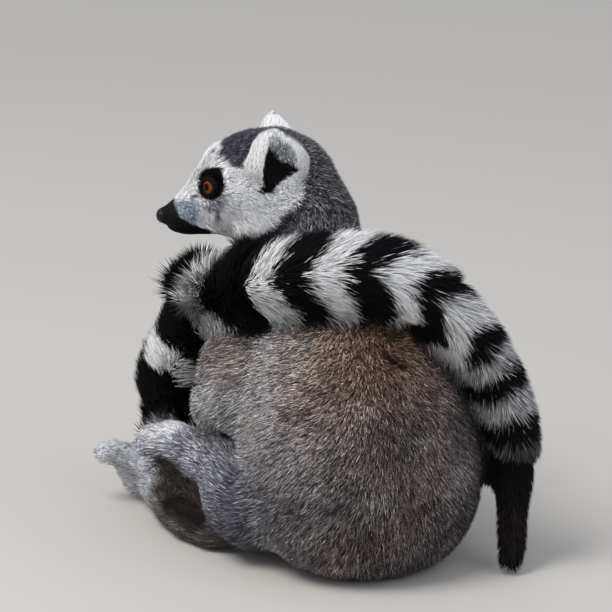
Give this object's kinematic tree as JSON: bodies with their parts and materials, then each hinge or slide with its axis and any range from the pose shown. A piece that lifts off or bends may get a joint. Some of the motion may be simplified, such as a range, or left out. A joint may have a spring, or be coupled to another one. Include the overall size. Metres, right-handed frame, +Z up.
{
  "type": "ring-tailed lemur",
  "caption": "Still life-size model of a ring-tailed lemur sitting hunched on its rump, head turned aside, long ringed tail brought over its shoulders and down its side.",
  "frame": {"origin": "on the floor, under the middle of the animal's box", "axes": "+Z up; the body faces -Y and its left side is +X; the head looks towards +X and a little to -Y"},
  "size_m": [0.196, 0.273, 0.2641],
  "materials": {
    "agouti_coat": "grizzled grey-brown fur about 15 mm deep, rufous on the upper back",
    "silver_coat": "short cool silver-grey fur on the limbs",
    "white_coat": "white to pale grey fur on the face, ears, hands and feet",
    "ringed_coat": "long loose fur in black and white rings",
    "bare_skin": "bare black skin, damp on the nose pad",
    "eye": "clear wet gloss over an orange iris and a dark pupil"
  },
  "bodies": {
    "root": {"ear_left": "white_coat", "ear_right": "white_coat", "eye_left": "eye", "eye_right": "eye", "foot_left": "white_coat", "foot_right": "white_coat", "forearm_left": "silver_coat", "forearm_right": "silver_coat", "hand_left": "white_coat", "hand_right": "white_coat", "head": "white_coat", "neck": "agouti_coat", "nose": "bare_skin", "shank_left": "silver_coat", "shank_right": "silver_coat", "tail_1": "ringed_coat", "tail_2": "ringed_coat", "tail_3": "ringed_coat", "tail_4": "ringed_coat", "tail_5": "ringed_coat", "thigh_left": "silver_coat", "thigh_right": "silver_coat", "trunk": "agouti_coat", "upper_arm_left": "silver_coat", "upper_arm_right": "silver_coat"}
  },
  "joints": []
}
